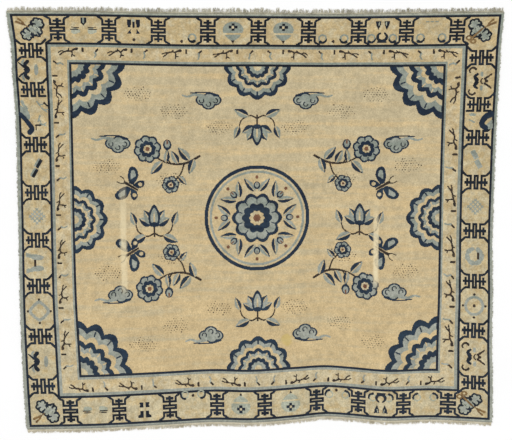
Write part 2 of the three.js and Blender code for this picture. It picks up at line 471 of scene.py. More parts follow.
def corner_cloud(spot):
    """A cloud of scalloped lobes, pale inside its dark outline, with two tassels towards the rug's corner."""
    for grown, yarn in CLOUD_LAYERS:
        for u, v, radius in CLOUD_LOBES:
            core, scallop = radius * LOBE_CORE + grown / 2, SCALLOP_SIZE * radius + grown
            spot.oval(u, v, core, core, yarn)
            for angle in np.radians(np.arange(15, 375, 60)):
                away = SCALLOP_PLACE * radius
                spot.oval(u + away * np.cos(angle), v + away * np.sin(angle), scallop, scallop, yarn)
    for notch in CLOUD_NOTCHES:
        spot.line(notch, "navy", 4.0, 2.4)
    spot.line(((23, 19), (17, 15)), "ribbon", 1.8)
    spot.line(((17, 15), (11, 12.5), (5, 10)), "ribbon", 3.4, 4.6)
    spot.line(((16, 12), (12.5, 8), (8.5, 5)), "ribbon", 2.8, 4.2)


def ribbon_bow(spot):
    """A ribbon across a corner's cloud, tied in two loops on the field's side of it."""
    spot.line(((26, 21), (32, 27), (40, 35)), "ribbon", 3.4)
    for u, v in ((46.5, 36), (39, 42)):
        spot.oval(u, v, 5.6, 4.6, "ribbon")
        spot.oval(u, v, 2.4, 1.8, "tan")


def twig(spot, chance):
    """A forked twig, a dash, and a slanting dash with a pale leaf. u runs from the twig's root to its tip."""
    wave = chance.uniform(-1.2, 1.2, 5)
    fork, bend = (10, 7 + wave[0]), (21, 8 + wave[2])
    stem = ((0, 3), (5, 4), fork, (15, 6.5 + wave[1]), bend, (26, 12 + wave[3]), (30, 15))
    spot.line(stem, "umber", 3.3, 2.3)
    spot.line((bend, (27, 8 + wave[4]), (32, 10)), "umber", 2.3)
    spot.line((fork, (9, 12), (10 + wave[0], 18)), "umber", 2.7, 2.1)
    spot.line(((9, 14), (5, 15.5 + wave[1])), "umber", 2.3)
    spot.line(((16, 7), (14 + wave[2], 3)), "umber", 2.2)
    spot.oval(2, 4, 3.4, 2.6, "umber")
    spot.line(((-9, 2.5), (-9 + wave[3] / 2, 8)), "umber", 3.6)
    spot.line(((-30, 9 + wave[1]), (-35, 4)), "umber", 3.2)
    spot.line(((-30, 9 + wave[1]), (-31 + wave[4], 14), (-29, 19)), "celadon", 3.2, 2.4)


def knot_border(knots):
    for side, places in FRETS.items():
        for number, share in enumerate(places):
            open_after = number == OPEN_FRET and side in ("left", "right")
            fret(side_spot(knots, side, BORDER, share), FRET_BENDS[side], open_after)
        for emblem, before, after in zip(EMBLEMS[side], places, places[1:]):
            middle = side_spot(knots, side, BORDER, (before + after) / 2)
            for draw, *values in emblem:
                draw(middle, *values)
    inset = frame_insets(BORDER)
    for x, right in ((inset["left"], 1), (COLUMNS - inset["right"], -1)):
        for y, down in ((inset["top"], 1), (ROWS - inset["bottom"], -1)):
            corner = Spot(knots, (x, y), (right, 0), (0, down))
            corner_cloud(corner)
            if right < 0:
                ribbon_bow(corner)


def knot_guard(knots, chance):
    for side, ways in TWIGS.items():
        for way, roots in ways.items():
            for share in roots:
                root = side_spot(knots, side, GUARD, share)
                twig(root.moved(0, 0, size=TWIG_SIZES[side], flip=-1 if way == "back" else 1), chance)


def leaf(spot, length, width, shaded=1):
    """A pointed leaf along u from its stalk, dark on one side of its rib."""
    u = np.linspace(0, length, 9)
    rim = width * np.sin(np.pi * (u / length) ** 0.8)
    for side, yarn in ((shaded, "blue"), (-shaded, "celadon")):
        edge = np.column_stack((u, side * rim))
        spot.fill(np.vstack((edge, ((length, 0), (0, 0)))), yarn)
    spot.line(((1, 0), (length * 0.8, 0)), "beige", 1.2)


def blossom(spot, radius, petals=8):
    """An open flower seen from the front."""
    for share, yarn in ((1.0, "blue"), (0.86, "celadon"), (0.6, "blue"), (0.3, "cream"), (0.16, "rust")):
        spot.oval(0, 0, radius * share, radius * share, yarn, petals, 0.16)
    for number in range(petals):
        petal = spot.moved(0, 0, 360 * (number + 0.5) / petals)
        petal.line(((radius * 0.62, 0), (radius * 0.86, 0)), "blue", 1.8)


def bud(spot, size):
    spot.oval(0, 0, size, size * 0.8, "blue")
    spot.oval(size * 0.15, 0, size * 0.68, size * 0.5, "celadon")
    spot.line(((size * 0.2, 0), (size * 0.9, 0)), "rust", 2.0)


def spray(spot):
    """A flowering branch that rises along u and curls over."""
    stem = ((0, 0), (18, -5), (36, -3), (52, 6), (62, 18))
    spot.line(stem, "umber", 3.2, 2.0)
    spot.line(((22, -5), (30, -18), (42, -26)), "umber", 2.2, 1.6)
    spot.line(((40, -1), (44, 10), (40, 20)), "umber", 2.0, 1.6)
    leaves = ((8, -2, -60, 22, 1), (14, -3, 60, 24, -1), (30, -4, 75, 20, 1), (50, 4, -35, 24, -1),
              (33, -20, -120, 16, 1), (46, 1, 110, 18, 1))
    for u, v, turn, length, shaded in leaves:
        leaf(spot.moved(u, v, turn), length, length * 0.24, shaded)
    blossom(spot.moved(66, 24), 19)
    blossom(spot.moved(46, -29), 12, 6)
    bud(spot.moved(39, 24, 100), 7)


def butterfly(spot):
    """A butterfly that flies along u."""
    for half in spot.halves(1):
        half.fill(rounded(((2, 2), (9, 10), (12, 22), (4, 25), (-4, 17), (-4, 3))), "blue")
        half.fill(rounded(((3, 8), (8, 18), (4, 21), (-1, 15))), "celadon")
        half.fill(rounded(((-3, 2), (-8, 12), (-15, 15), (-17, 8), (-12, 2))), "blue")
        half.oval(-12, 8.5, 3, 2.6, "cream")
        half.line(((8, 1), (13, 4), (18, 4.5)), "umber", 1.4)
    spot.line(((8, 0), (-12, 0)), "umber", 4, 2.4)


def cloud(spot):
    """A cloud with three curled heads and a trailing tail along u."""
    heads = ((0, 0, 8), (-10, 5, 6.5), (10, 5, 6.5), (-1, 8, 7))
    for grown, yarn in ((2.2, "blue"), (0, "celadon")):
        for u, v, radius in heads:
            spot.oval(u, v, radius + grown, radius * 0.85 + grown, yarn)
    spot.line(((8, 11), (20, 13), (30, 10), (38, 12)), "celadon", 5, 2)
    spot.line(((-14, 12), (0, 16), (16, 16), (26, 15)), "blue", 2.6, 1.6)
    for u, v, start in ((0, -1, 120), (-10, 4, 100), (10, 4, 140)):
        spot.arc(u, v, 3.2, start, start + 230, "navy", 1.6)


def seeds(spot, half_u, half_v, chance):
    """A scatter of single dark knots in slanting rows."""
    for row in range(-6, 7):
        for step in range(-9, 10):
            u = 4.8 * step + 1.8 * row + chance.uniform(-0.7, 0.7)
            v = 3.8 * row + chance.uniform(-0.6, 0.6)
            if (u / half_u) ** 2 + (v / half_v) ** 2 < chance.uniform(0.55, 1.0):
                spot.box(u - 0.8, v - 0.6, u + 0.8, v + 0.6, "umber")


def lotus(spot):
    """A lotus that opens towards -v, between two curling leaves."""
    spot.line(((0, 24), (0, 8)), "umber", 3, 2.2)
    for half in spot.halves():
        half.line(((0, 20), (10, 24), (22, 18), (26, 8)), "umber", 2.4, 1.8)
        leaf(half.moved(12, 23, 25), 24, 6, 1)
        leaf(half.moved(26, 9, -70), 20, 5, -1)
        leaf(half.moved(3, 8, -25), 21, 6.5, 1)
        leaf(half.moved(2, 8, -58), 24, 7, -1)
    spot.fill(rounded(((-7, 8), (-8, -6), (0, -20), (8, -6), (7, 8))), "blue")
    spot.fill(rounded(((-4.6, 6), (-5, -5), (0, -15), (5, -5), (4.6, 6))), "celadon")
    spot.line(((0, 5), (0, -9)), "cream", 2.4, 1.4)
    spot.oval(0, 8, 7, 3.4, "blue")


def fan(spot, radius, lobes):
    """Scalloped arcs round a corner or the middle of an edge, which cuts them."""
    rims = ((1.0, "blue"), (0.87, "celadon"), (0.74, "beige"), (0.64, "blue"), (0.53, "celadon"),
            (0.44, "cream"), (0.36, "blue"), (0.24, "celadon"), (0.13, "cream"))
    for share, yarn in rims:
        spot.oval(0, 0, radius * share, radius * share, yarn, lobes, 0.12)
    for number in range(lobes):
        rib = spot.moved(0, 0, 360 * number / lobes)
        rib.line(((radius * 0.77, 0), (radius * 0.85, 0)), "blue", 2.6)
        rib.line(((radius * 0.47, 0), (radius * 0.53, 0)), "beige", 2.2)


def medallion(spot, radius):
    """A flower in a ring of leaves and buds, inside two round lines."""
    for inset, yarn in ((0, "blue"), (6, "beige"), (9, "celadon"), (13, "beige")):
        spot.oval(0, 0, radius - inset, radius - inset, yarn)
    scrolls = 8
    for number in range(scrolls):
        arm = spot.moved(0, 0, 360 * number / scrolls)
        leaf(arm.moved(radius * 0.5, 3, 40), radius * 0.34, 6, 1)
        leaf(arm.moved(radius * 0.5, -3, -40), radius * 0.34, 6, -1)
        bud(arm.moved(radius * 0.62, 0), 7)
        arm.oval(radius * 0.78, 0, 3, 3, "rust")
    blossom(spot, radius * 0.48, 10)


def knot_field(knots, chance):
    """A round flower medallion, fans at the corners and edges, and sprays, clouds and butterflies between."""
    field = knots_inside(knots, len(FRAMES))
    down, across = field.shape
    middle = Spot(field, (across / 2, down / 2), (1, 0), (0, 1))
    medallion(middle, 92)
    for side_u in (-1, 1):
        fan(middle.moved(side_u * across / 2, 0), 58, 12)
        fan(middle.moved(0, side_u * down / 2), 58, 12)
        lotus(middle.moved(side_u * 180, 0, size=1.25))
        lotus(middle.moved(0, side_u * 150, 0 if side_u > 0 else 180, 1.2))
        for side_v in (-1, 1):
            quarter = Spot(field, middle.origin, (side_u, 0), (0, side_v))
            fan(quarter.moved(across / 2, down / 2), 92, 16)
            spray(quarter.moved(100, 108, -12, 1.3))
            butterfly(quarter.moved(222, 58, 30, 1.25))
            cloud(quarter.moved(84, 200, 0, 1.2))
            cloud(quarter.moved(242, 124, 0, 1.2))
            for u, v in ((146, 186), (262, 92), (150, 66), (66, 158), (206, 216)):
                seeds(quarter.moved(u, v), 26, 14, chance)


MM = 0.001
LINE_STEP = 8  # knots between the points along a line of the design, which let it follow the sheet's curves
FACE_STEP = 8  # knots between the points of the grid on the face
BACK_STEP = 24  # and of that on the back
OUTLINE_STEPS = 400  # along each edge, where the outline's box is measured
ALL_TRIANGLES, SAME_POINT = 0, 1e-4  # what the triangulation gives, and the distance at which points are one
RELIEF = 0.7 * MM  # how much higher or lower the pile stands, at most
# The rolled edge of the sheet, from the face to the back: metres inside the outline, and height
EDGE_ROLL = (
    (3.4 * MM, THICKNESS - 0.5 * MM),
    (1.1 * MM, THICKNESS - 2.2 * MM),
    (0.0, 0.5 * THICKNESS),
    (0.8 * MM, 1.2 * MM),
    (2.6 * MM, 0.0),
)


def smooth_between(rows, place, column, at):
    """The values of one column at places between the rows, on a smooth curve through them."""
    places = np.array(rows[place])
    values = np.array(rows[column], float)
    slope = np.empty(len(values))
    slope[1:-1] = (values[2:] - values[:-2]) / (places[2:] - places[:-2])
    slope[[0, -1]] = np.diff(values)[[0, -1]] / np.diff(places)[[0, -1]]
    i = np.clip(np.searchsorted(places, at, side="right") - 1, 0, len(places) - 2)
    span = places[i + 1] - places[i]
    t = (at - places[i]) / span
    rise = values[i + 1] - values[i]
    start, end = slope[i] * span, slope[i + 1] * span
    return values[i] + t * (start + t * (3 * rise - 2 * start - end + t * (start + end - 2 * rise)))


def pulled(share, before, after, pulls):
    """How far a place is pulled aside, from the pulls on one edge, on the field's frames beside it, on those
    opposite, and on the other edge. before and after are the widths of the frames there, as shares."""
    edge, near, far, far_edge = pulls
    into = np.clip(share / before, 0, 1)
    over = np.clip((share - before) / (1 - before - after), 0, 1)
    out = np.clip((share - 1 + after) / after, 0, 1)
    return edge + into * (near - edge) + over * (far - near) + out * (far_edge - far)


def standing_out(rows, place, at):
    """How far the edges and frames of a table stand out, in metres."""
    return {name: smooth_between(rows, place, name, at) * MM for name in rows if name != place}


def on_plan(across, along):
    """Where points of the straight weaving plan lie on the real sheet, before it is centred."""
    inset = frame_insets(len(FRAMES))
    sides = standing_out(SIDE_ROWS, "along", along)
    ends = standing_out(END_ROWS, "across", across)
    side_pulls = (-sides["left"], -sides["field_left"], sides["field_right"], sides["right"])
    end_pulls = (ends["top"], ends["field_top"], -ends["field_bottom"], -ends["bottom"])
    dx = pulled(across, inset["left"] / COLUMNS, inset["right"] / COLUMNS, side_pulls)
    dy = pulled(along, inset["top"] / ROWS, inset["bottom"] / ROWS, end_pulls)
    return np.column_stack(((across - 0.5) * WIDTH + dx, (0.5 - along) * LENGTH + dy))


def centring():
    """The move that brings the plan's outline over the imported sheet."""
    share = np.linspace(0, 1, OUTLINE_STEPS)
    none, whole = np.zeros(OUTLINE_STEPS), np.ones(OUTLINE_STEPS)
    edges = [on_plan(none, share), on_plan(whole, share), on_plan(share, none), on_plan(share, whole)]
    outline = np.vstack(edges)
    low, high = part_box("rug_body")
    plan_middle = (outline.min(axis=0) + outline.max(axis=0)) / 2
    return (np.array(low[:2]) + np.array(high[:2])) / 2 - plan_middle


CENTRING = centring()


def on_rug(across, along):
    return on_plan(across, along) + CENTRING


def drawn_edges(knots):
    """Whether a yarn changes across each step of the knot lattice, along rows and along columns."""
    along_rows = np.ones((ROWS + 1, COLUMNS), bool)
    along_rows[1:-1] = knots[1:] != knots[:-1]
    along_columns = np.ones((ROWS, COLUMNS + 1), bool)
    along_columns[:, 1:-1] = knots[:, 1:] != knots[:, :-1]
    return along_rows, along_columns


def lattice_points(along_rows, along_columns, grid_step):
    """Which lattice points a face needs: corners of the design, steps along its lines, and a grid between."""
    left, right = np.pad(along_rows, ((0, 0), (1, 0))), np.pad(along_rows, ((0, 0), (0, 1)))
    above, below = np.pad(along_columns, ((1, 0), (0, 0))), np.pad(along_columns, ((0, 1), (0, 0)))
    row, column = np.indices(left.shape)
    level = left & right & ~above & ~below
    upright = above & below & ~left & ~right
    corner = (left | right | above | below) & ~level & ~upright
    step = (level & (column % LINE_STEP == 0)) | (upright & (row % LINE_STEP == 0))
    return corner | step | ((row % grid_step == 0) & (column % grid_step == 0))


def knotted_face(knots, grid_step):
    """Points, triangles and yarn numbers of a face in which each triangle has one yarn.
    The points are in knots from the top left corner, Y down, and the triangles run clockwise there."""
    along_rows, along_columns = drawn_edges(knots)
    needed = lattice_points(along_rows, along_columns, grid_step)
    row, column = np.nonzero(needed)
    number = np.full(needed.shape, -1)
    number[row, column] = np.arange(len(row))
    level = (row[1:] == row[:-1]) & np.pad(along_rows, ((0, 0), (0, 1)))[row[:-1], column[:-1]]
    edges = np.column_stack((np.arange(len(row) - 1), np.arange(1, len(row))))[level]
    order = np.lexsort((row, column))
    down, aside = row[order], column[order]
    upright = (aside[1:] == aside[:-1]) & np.pad(along_columns, ((0, 1), (0, 0)))[down[:-1], aside[:-1]]
    edges = np.vstack((edges, np.column_stack((order[:-1], order[1:]))[upright]))
    points = [(float(x), float(y)) for x, y in zip(column, row)]
    made = delaunay_2d_cdt(points, edges.tolist(), [], ALL_TRIANGLES, SAME_POINT)
    points = np.array([tuple(point) for point in made[0]])
    triangles = np.array(made[2])
    middle = points[triangles].mean(axis=1).astype(int)
    return points, triangles, knots[middle[:, 1], middle[:, 0]]


def rim_loop(points):
    """The points on the rim of a face in order, clockwise from the top left corner as seen from above."""
    x, y = np.round(points).astype(int).T
    sides = (
        (y == 0, x),
        (x == COLUMNS, y),
        (y == ROWS, -x),
        (x == 0, -y),
    )
    loop = []
    for on_side, place in sides:
        found = np.nonzero(on_side)[0]
        loop.extend(found[np.argsort(place[found])][:-1])
    return np.array(loop)


# Bare places in metres from the sheet's lower left corner, before it was pulled out of true
WORN_STREAKS = (
    {"x": 0.592, "half": 0.024, "low": 0.745, "high": 1.40, "worn": 0.62},
    {"x": 2.012, "half": 0.020, "low": 0.765, "high": 1.30, "worn": 0.80},
)
WORN_COLOUR = (232, 217, 178)
STREAK_FOOT = (-0.03, 0.05)  # about its low end, where a streak fades in
STREAK_HEAD = -0.3  # from its high end, where it fades out
STREAK_CORE = 0.4  # of its half width
STREAK_SWING = 0.7
STAIN = {"x": 1.508, "y": 0.452, "reach": 0.042, "strength": 0.55}
STAIN_COLOUR = (206, 182, 104)
STAINED = ("beige", "tan", "cream")  # the pale yarns, on which it shows
# The noises of the wool: how many waves they have to a metre, and how far they swing its tone
ROW_WAVES = (1.1, 26.0, 0.0)  # few across and many along, which draws the lots out in rows
WAVES = {"patches": 26.0, "drift": 7.0, "blots": 27.0, "specks": 95.0, "fibre": 900.0, "fray": 42.0}
DRIFT_SWING, KNOT_SWING, FIBRE_SWING = 0.18, 0.12, 0.12
LOT_STEP = (0.36, 0.64)  # where the noise goes over from one lot of dye to the other
KNOT_HEIGHT, FIBRE_HEIGHT = 0.6, 0.7  # shares of the bumps' height


def linear(colour, alpha=1.0):
    """A colour from 0 to 255 in sRGB as the shader takes it."""
    share = np.array(colour) / 255
    straight = np.where(share <= 0.04045, share / 12.92, ((share + 0.055) / 1.055) ** 2.4)
    return (*straight, alpha)


class Shader:
    """The nodes of one material. A value given to an input is a number, a colour or another node's output."""

    def __init__(self, name):
        self.material = bpy.data.materials.new(name)
        self.material.use_nodes = True
        self.tree = self.material.node_tree
        self.surface = self.tree.nodes["Principled BSDF"]

    def node(self, kind, inputs, output=0, **settings):
        made = self.tree.nodes.new(kind)
        for name, value in settings.items():
            setattr(made, name, value)
        for name, value in inputs.items():
            self.put(made.inputs[name], value)
        return made.outputs[output]

    def put(self, socket, value):
        if isinstance(value, bpy.types.NodeSocket):
            self.tree.links.new(value, socket)
        else:
            socket.default_value = value

    def math(self, operation, first, second=0.0):
        return self.node("ShaderNodeMath", {0: first, 1: second}, operation=operation)

    def times(self, product, *factors):
        for factor in factors:
            product = self.math("MULTIPLY", product, factor)
        return product

    def vector(self, operation, first, second=(0.0, 0.0, 0.0)):
        return self.node("ShaderNodeVectorMath", {0: first, 1: second}, operation=operation)

    def noise(self, place, scale, detail=3.0, roughness=0.55):
        inputs = {"Vector": place, "Scale": scale, "Detail": detail, "Roughness": roughness}
        return self.node("ShaderNodeTexNoise", inputs, noise_dimensions="2D")

    def ramp(self, value, low, high, start=0.0, end=1.0):
        """A smooth step from start to end while value goes from low to high."""
        inputs = {"Value": value, "From Min": low, "From Max": high, "To Min": start, "To Max": end}
        return self.node("ShaderNodeMapRange", inputs, interpolation_type="SMOOTHSTEP")

    def mix(self, share, first, second, blend="MIX"):
        """A mix of two colours, for which the node has sockets of its own."""
        inputs = {0: share, 6: first, 7: second}
        return self.node("ShaderNodeMix", inputs, 2, data_type="RGBA", blend_type=blend)

    def blend(self, share, first, second):
        """A mix of two numbers."""
        return self.node("ShaderNodeMix", {0: share, 2: first, 3: second}, data_type="FLOAT")

    def swing(self, value, reach):
        """A factor near 1 that goes reach up and down as value goes from 0 to 1."""
        inputs = {"Value": value, "To Min": 1 - reach, "To Max": 1 + reach}
        return self.node("ShaderNodeMapRange", inputs, clamp=False)


def worn_share(shader, place, x, y):
    """How far the pile is worn down, in upright streaks with ragged sides."""
    ragged = shader.noise(place, WAVES["fray"], 4.0, 0.65)
    share = 0.0
    for streak in WORN_STREAKS:
        half, low, high = streak["half"], streak["low"], streak["high"]
        aside = shader.math("ABSOLUTE", shader.math("SUBTRACT", x, streak["x"]))
        fray = shader.times(shader.math("SUBTRACT", ragged, 0.5), half)
        across = shader.ramp(shader.math("ADD", aside, fray), half, half * STREAK_CORE)
        foot = shader.ramp(y, *[low + reach for reach in STREAK_FOOT])
        head = shader.ramp(y, high, high + STREAK_HEAD)
        worn = shader.times(across, foot, head, shader.swing(ragged, STREAK_SWING), streak["worn"])
        share = shader.math("MAXIMUM", share, worn)
    return share


def dyed_wool(name, dyes, rows, fall, mottle):
    """Short wool pile of one yarn, with its two lots of dye, its mottling, knots and wear."""
    shader = Shader(f"wool_{name}")
    plan = shader.node("ShaderNodeUVMap", {}, uv_map="plan")
    place = shader.vector("MULTIPLY", plan, (WIDTH, LENGTH, 0.0))
    x, y, _ = shader.node("ShaderNodeSeparateXYZ", {0: place}).node.outputs
    lots_in_rows = shader.noise(shader.vector("MULTIPLY", place, ROW_WAVES), 1.0, 4.0, 0.6)
    lots_in_patches = shader.noise(place, WAVES["patches"], 4.0, 0.6)
    drift = shader.noise(place, WAVES["drift"], 4.0, 0.6)
    blots = shader.noise(place, WAVES["blots"], 3.0, 0.5)
    specks = shader.noise(place, WAVES["specks"], 2.0, 0.5)
    cell = shader.vector("FLOOR", shader.vector("MULTIPLY", plan, (COLUMNS, ROWS, 0.0)))
    knot = shader.node("ShaderNodeTexWhiteNoise", {"Vector": cell}, noise_dimensions="2D")
    fibre = shader.noise(place, WAVES["fibre"], 2.0)

    lot = shader.blend(rows, lots_in_patches, lots_in_rows)
    lot = shader.math("ADD", lot, shader.ramp(y, 0.0, LENGTH, fall, -fall))
    colour = shader.mix(shader.ramp(lot, *LOT_STEP), linear(dyes[0]), linear(dyes[1]))
    tone = shader.times(shader.swing(blots, mottle), shader.swing(specks, mottle))
    tone = shader.times(tone, shader.swing(drift, DRIFT_SWING))
    tone = shader.times(tone, shader.swing(knot, KNOT_SWING), shader.swing(fibre, FIBRE_SWING))
    colour = shader.mix(1.0, colour, tone, "MULTIPLY")
    if name in STAINED:
        away = shader.vector("DISTANCE", place, (STAIN["x"], STAIN["y"], 0.0)).node.outputs["Value"]
        ragged = shader.times(away, shader.swing(blots, 0.5))
        stained = shader.ramp(ragged, STAIN["reach"], STAIN["reach"] * 0.5, 0.0, STAIN["strength"])
        colour = shader.mix(stained, colour, linear(STAIN_COLOUR))
    colour = shader.mix(worn_share(shader, place, x, y), colour, linear(WORN_COLOUR))

    height = shader.math("ADD", shader.times(knot, KNOT_HEIGHT), shader.times(fibre, FIBRE_HEIGHT))
    bump = shader.node("ShaderNodeBump", {"Strength": 0.55, "Distance": 0.0011, "Height": height})
    finish_fabric(shader, colour, bump, shader.ramp(blots, 0.2, 0.8, 0.86, 1.0), sheen=0.22)
    return shader.material


def finish_fabric(shader, colour, normal, roughness, sheen):
    """Sets the surface of a dull cloth with a soft sheen."""
    surface = shader.surface.inputs
    shader.put(surface["Base Color"], colour)
    shader.put(surface["Normal"], normal)
    shader.put(surface["Roughness"], roughness)
    surface["Specular IOR Level"].default_value = 0.12
    surface["Sheen Weight"].default_value = sheen
    surface["Sheen Roughness"].default_value = 0.55
    surface["Sheen Tint"].default_value = (0.9, 0.86, 0.78, 1.0)


def bare_cotton(name, tone, soiled_and_shaded):
    """Undyed cotton yarn, darker in places: soiled, and on the top web and fringe also painted shade between
    the yarns.
    """
    shader = Shader(name)
    place = shader.node("ShaderNodeTexCoord", {}, "Object")
    strands, dirt_and_shade, twist = (
        shader.node("ShaderNodeTexNoise", {"Vector": place, "Scale": waves, "Detail": detail})
        for waves, detail in ((260.0, 2.0), (14.0, 4.0), (1400.0, 1.0))
    )
    # Darker brown-grey patches and a tone that swings from strand to strand: dirt, and also painted shade in
    # the gaps between the yarns
    colour = shader.mix(shader.ramp(dirt_and_shade, 0.4, 0.7, 0.0, 0.75), linear(tone), linear(soiled_and_shaded))
    colour = shader.mix(1.0, colour, shader.swing(strands, 0.30), "MULTIPLY")
    bump = shader.node("ShaderNodeBump", {"Strength": 0.5, "Distance": 0.0006, "Height": twist})
    finish_fabric(shader, colour, bump, shader.ramp(strands, 0.2, 0.8, 0.85, 1.0), sheen=0.15)
    return shader.material


BAKE_NAME = "OFBake"
BACK_SHARE = 0.13  # of the bake map's height, for the back
BACK_WIDTH = 0.5  # of the bake map's width, for the back
BACK_FILL = 0.9  # of its strip that the back takes up
BAKE_MARGIN = 0.012  # round the face on the bake map, for the rolled edge


def new_piece(name, points, faces, materials, uv_maps=None, slots=None):
    """An object of a mesh whose faces all have as many corners. uv_maps gives a place for each corner."""
    mesh = bpy.data.meshes.new(name)
    mesh.vertices.add(len(points))
    mesh.vertices.foreach_set("co", np.asarray(points, np.float32).ravel())
    mesh.loops.add(faces.size)
    mesh.loops.foreach_set("vertex_index", faces.astype(np.int32).ravel())
    mesh.polygons.add(len(faces))
    mesh.polygons.foreach_set("loop_start", np.arange(0, faces.size, faces.shape[1], dtype=np.int32))
    for uv_name, places in (uv_maps or {}).items():
        layer = mesh.uv_layers.new(name=uv_name)
        layer.uv.foreach_set("vector", np.asarray(places, np.float32).ravel())
    for material in materials:
        mesh.materials.append(material)
    if slots is not None:
        mesh.polygons.foreach_set("material_index", np.asarray(slots, np.int32))
    mesh.update(calc_edges=True)
    mesh.shade_smooth()
    piece = bpy.data.objects.new(name, mesh)
    bpy.context.collection.objects.link(piece)
    return piece


def dress(piece, slot, *nodes):
    """Rides the piece on the sheet's body, in place of its solids. slot is not used."""
    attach(piece, "root")
    if nodes:
        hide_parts(*nodes)
    return piece


def loop_band(upper, lower):
    """Triangles between two loops of as many points."""
    upper_next, lower_next = np.roll(upper, -1), np.roll(lower, -1)
    halves = (upper, upper_next, lower_next), (upper, lower_next, lower)
    return np.vstack([np.column_stack(corners) for corners in halves])


def pile_height(across, along):
    """The worn pile's height, which rises and falls a little over the sheet."""
    swell = np.sin(7.1 * across + 2.3 * along) + np.sin(11.3 * along - 4.7 * across + 1.0)
    ripple = np.sin(31.0 * across + 9.0 * along) * np.sin(27.0 * along + 0.6)
    return THICKNESS - RELIEF + RELIEF * (0.3 * swell + 0.4 * ripple)


def inward(points):
    """The direction from points on the rim of the plan into the rug, along X and Y."""
    x, y = np.round(points).astype(int).T
    return np.column_stack(((x == 0) * 1.0 - (x == COLUMNS), (y == ROWS) * 1.0 - (y == 0)))


def bake_places(flat, triangles, loops, inside, back_faces):
    """Where the corners of the sheet's triangles lie on the bake map: the face with the rolled edge spread
    out round it, and the back in a strip below."""
    scale = (1 - 2 * BAKE_MARGIN, 1 - BACK_SHARE - 2 * BAKE_MARGIN)
    bake = flat * scale + (BAKE_MARGIN, BACK_SHARE + BAKE_MARGIN)
    outward = -inside * BAKE_MARGIN / len(loops)
    rim, *between, back_rim = loops
    for number, loop in enumerate(between, 1):
        bake[loop] += number * outward
    corners = bake[triangles]
    corners[back_faces] = flat[triangles[back_faces]] * (BACK_WIDTH, BACK_SHARE * BACK_FILL)
    last = slice(-2 * len(rim), None)
    bake[back_rim] = bake[rim] + (len(loops) - 1) * outward
    corners[last] = bake[triangles[last]]
    return corners


def rug_pile(knots, materials):
    """The knotted sheet: its face in the design's yarns, a rolled edge, and the back in the frames' yarns."""
    face, face_triangles, face_yarns = knotted_face(knots, FACE_STEP)
    back, back_triangles, back_yarns = knotted_face(knotted_frames(), BACK_STEP)
    plan = np.vstack((face, back)) / (COLUMNS, ROWS)
    spread = on_rug(plan[:, 0], plan[:, 1])
    height = np.concatenate((pile_height(*plan[: len(face)].T), np.zeros(len(back))))
    rim, back_rim = rim_loop(face), rim_loop(back) + len(face)
    outline, inside = spread[rim].copy(), inward(face[rim])
    (face_inset, face_rim_height), *between, (back_inset, _) = EDGE_ROLL
    spread[rim] = outline + face_inset * inside
    height[rim] = face_rim_height
    spread[back_rim] = outline + back_inset * inside
    points = [np.column_stack((spread, height))]
    loops = [rim]
    for number, (inset, level) in enumerate(between):
        points.append(np.column_stack((outline + inset * inside, np.full(len(rim), level))))
        loops.append(len(plan) + number * len(rim) + np.arange(len(rim)))
    loops.append(back_rim)
    bands = [loop_band(upper, lower) for upper, lower in zip(loops, loops[1:])]
    triangles = np.vstack((face_triangles[:, ::-1], back_triangles + len(face), *bands))
    slots = np.concatenate((face_yarns, back_yarns, np.full(sum(map(len, bands)), YARN_NUMBER["celadon"])))
    flat = np.vstack((plan, np.tile(plan[rim], (len(between), 1)))) * (1, -1) + (0, 1)
    back_faces = slice(len(face_triangles), len(face_triangles) + len(back_triangles))
    bake = bake_places(flat, triangles, loops, inside, back_faces)
    uv_maps = {"plan": flat[triangles], BAKE_NAME: bake}
    return new_piece("rug_pile", np.vstack(points), triangles, materials, uv_maps, slots)


def tube_walls(count, steps, sides):
    """Four-cornered faces of open tubes, each a row of rings of points."""
    number = np.arange(count * steps * sides).reshape(count, steps, sides)
    turned = np.roll(number, -1, axis=2)
    corners = (number[:, :-1], turned[:, :-1], turned[:, 1:], number[:, 1:])
    return np.stack(corners, axis=-1).reshape(-1, 4)


def tubes(paths, radii, sides):
    """Points and faces of open tubes along paths, with one radius for each point of a path."""
    count, steps, _ = paths.shape
    along = np.gradient(paths, axis=1)
    along /= np.linalg.norm(along, axis=2, keepdims=True)
    aside = np.cross(along, (0.0, 0.0, 1.0))
    aside /= np.maximum(np.linalg.norm(aside, axis=2, keepdims=True), 1e-9)
    above = np.cross(aside, along)
    angle = 2 * np.pi * np.arange(sides) / sides
    ring = np.cos(angle)[:, None] * aside[:, :, None] + np.sin(angle)[:, None] * above[:, :, None]
    points = paths[:, :, None] + radii[:, :, None, None] * ring
    return points.reshape(-1, 3), tube_walls(count, steps, sides)


# The end webs and the fringe, in millimetres as the sheet's outline is
SEAM_GAP = 0.3
WEB_WIDTH = {"top": 9, "bottom": 13}
FRINGE_ROWS = {
    "across": (0.0, 0.2, 0.42, 0.6, 0.8, 1.0),
    "top": (15, 17, 20, 18, 16, 15),
    "bottom": (12, 14, 15, 14, 15, 13),
}
FRINGE_LENGTH = {"top": 1.25, "bottom": 0.85}  # as a share of the reach
FRINGE_START = {"top": 0.5, "bottom": 7.0}  # from the sheet's edge to where the yarns come out of the web
